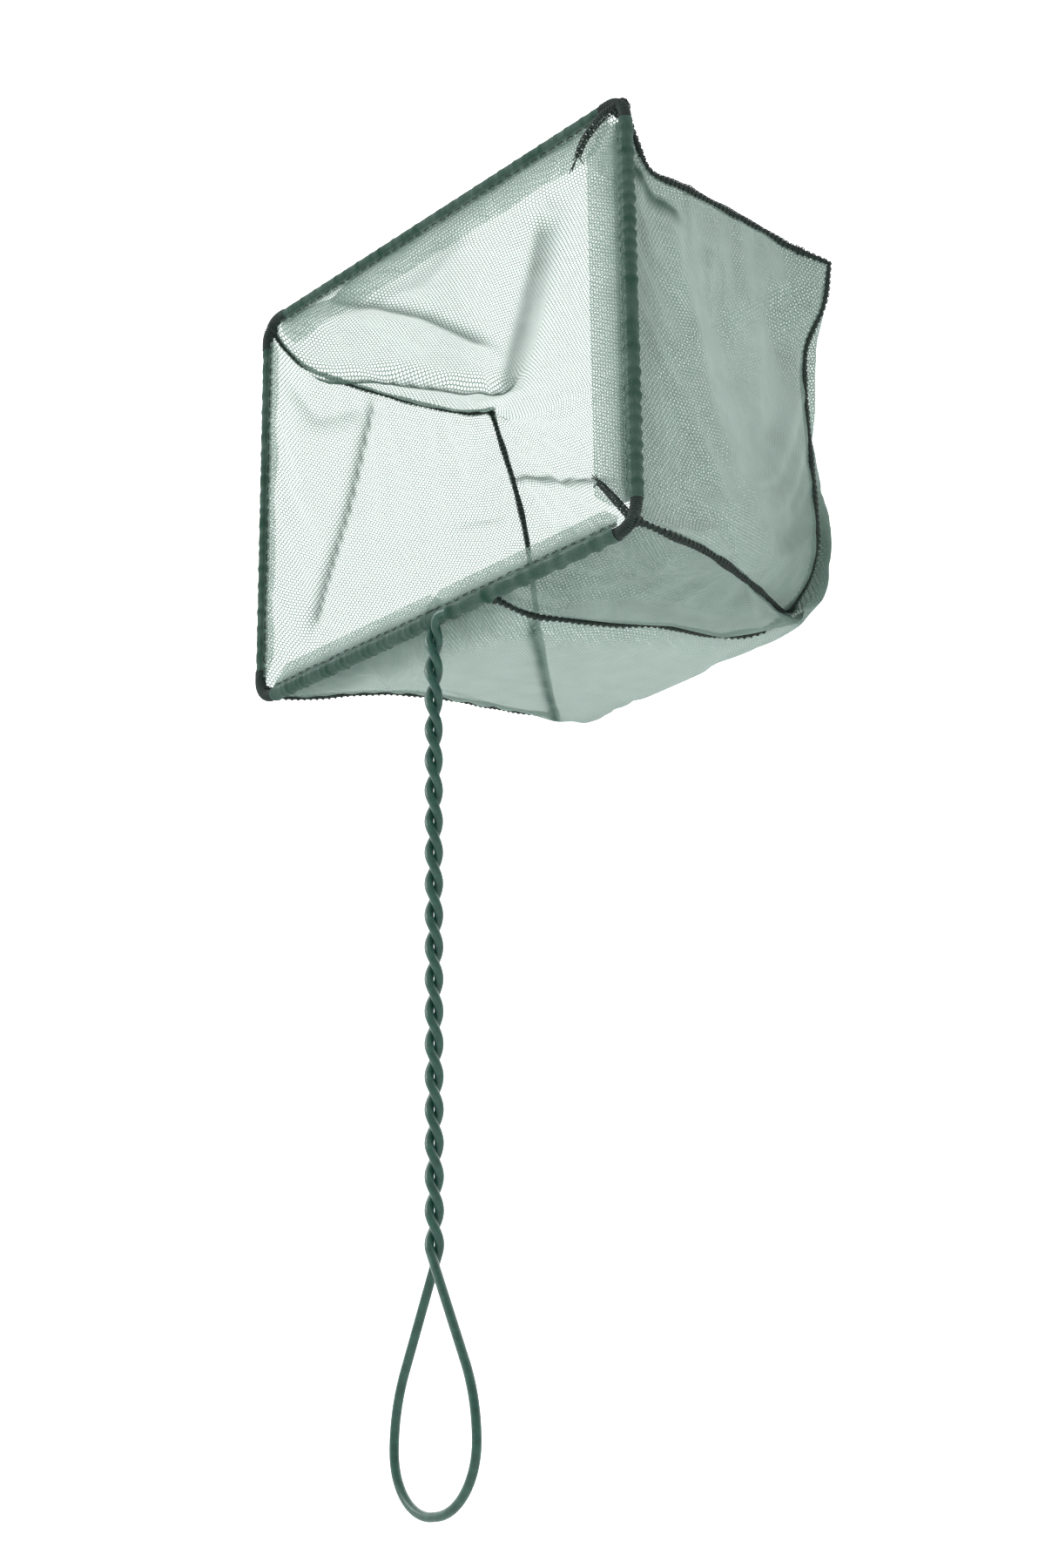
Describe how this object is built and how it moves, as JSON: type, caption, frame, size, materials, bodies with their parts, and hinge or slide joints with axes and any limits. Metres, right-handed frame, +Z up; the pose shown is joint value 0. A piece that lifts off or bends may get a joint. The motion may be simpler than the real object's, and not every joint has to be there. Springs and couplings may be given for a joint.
{
  "type": "landing net",
  "caption": "Small hand net: coated-wire hoop with a twisted handle and hanging loop, and a box-shaped fine netting bag sewn to the hoop.",
  "frame": {"origin": "the middle of the grip, on the axis of the twisted handle", "axes": "+Z up the handle to the hoop, +X across the hoop, +Y from the hoop's mouth into the bag"},
  "size_m": [0.1544, 0.082, 0.3389],
  "materials": {
    "steel": "galvanised wire",
    "green_vinyl": "smooth dark green vinyl",
    "netting": "fine soft pale green netting",
    "hem_tape": "doubled netting gathered round the wire",
    "dark_thread": "dark green sewing thread"
  },
  "bodies": {
    "root": {"steel_core": "steel", "pvc_coating": "green_vinyl", "splice_ferrule": "steel", "body_panel": "netting", "left_panel": "netting", "right_panel": "netting", "left_seam": "dark_thread", "right_seam": "dark_thread", "bottom_tuck": "dark_thread", "corner_tack_top_left": "dark_thread", "corner_tack_top_right": "dark_thread", "corner_tack_bottom_left": "dark_thread", "corner_tack_bottom_right": "dark_thread", "top_hem": "hem_tape", "left_hem": "hem_tape", "right_hem": "hem_tape", "bottom_hem_left": "hem_tape", "bottom_hem_right": "hem_tape", "top_hem_stitches": "dark_thread", "left_hem_stitches": "dark_thread", "right_hem_stitches": "dark_thread", "bottom_hem_left_stitches": "dark_thread", "bottom_hem_right_stitches": "dark_thread"}
  },
  "joints": []
}
